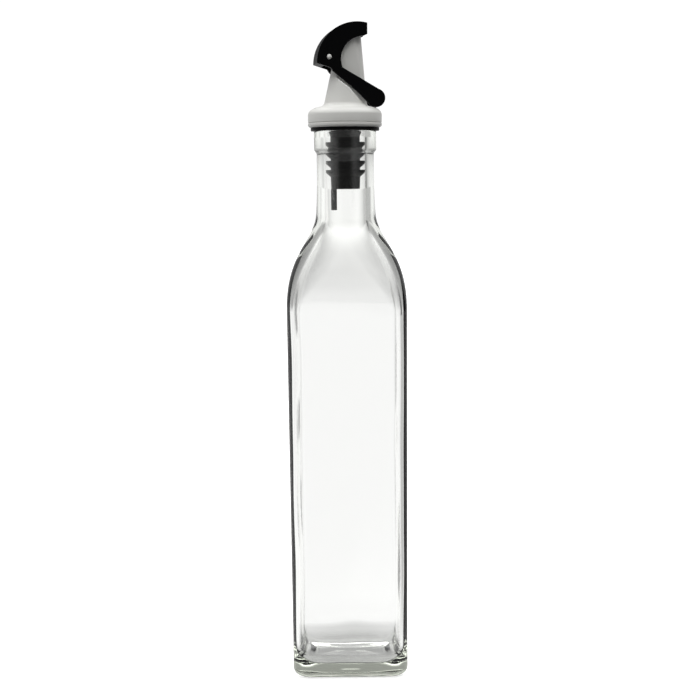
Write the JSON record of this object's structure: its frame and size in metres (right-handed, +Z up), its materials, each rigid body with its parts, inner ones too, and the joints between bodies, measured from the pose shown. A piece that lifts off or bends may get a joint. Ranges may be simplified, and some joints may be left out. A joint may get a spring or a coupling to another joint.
{
  "type": "oil bottle",
  "caption": "Clear square glass oil bottle with a ribbed stopper, a slanted pouring spout, an air tube and a hinged flap that closes over the spout.",
  "frame": {"origin": "centre of the base, on the surface the bottle stands on", "axes": "+Z up along the bottle, -Y out of the face that is shown, +X to the side the spout pours to"},
  "size_m": [0.0578, 0.0578, 0.3179],
  "materials": {
    "clear_glass": "polished",
    "black_rubber": "satin",
    "dark_tube": "satin",
    "white_plastic": "smooth",
    "black_plastic": "smooth"
  },
  "bodies": {
    "bottle": {"glass_bottle": "clear_glass", "stopper": "black_rubber", "air_tube": "dark_tube", "spout": "white_plastic"},
    "flap": {"flap": "black_plastic"}
  },
  "joints": [
    {"name": "flap_hinge", "type": "hinge", "parent": "bottle", "child": "flap", "pos_m": [-0.00822, -0.00115, 0.3011], "axis": [0.1392, -0.9903, 0], "range_deg": [0, 50]}
  ]
}
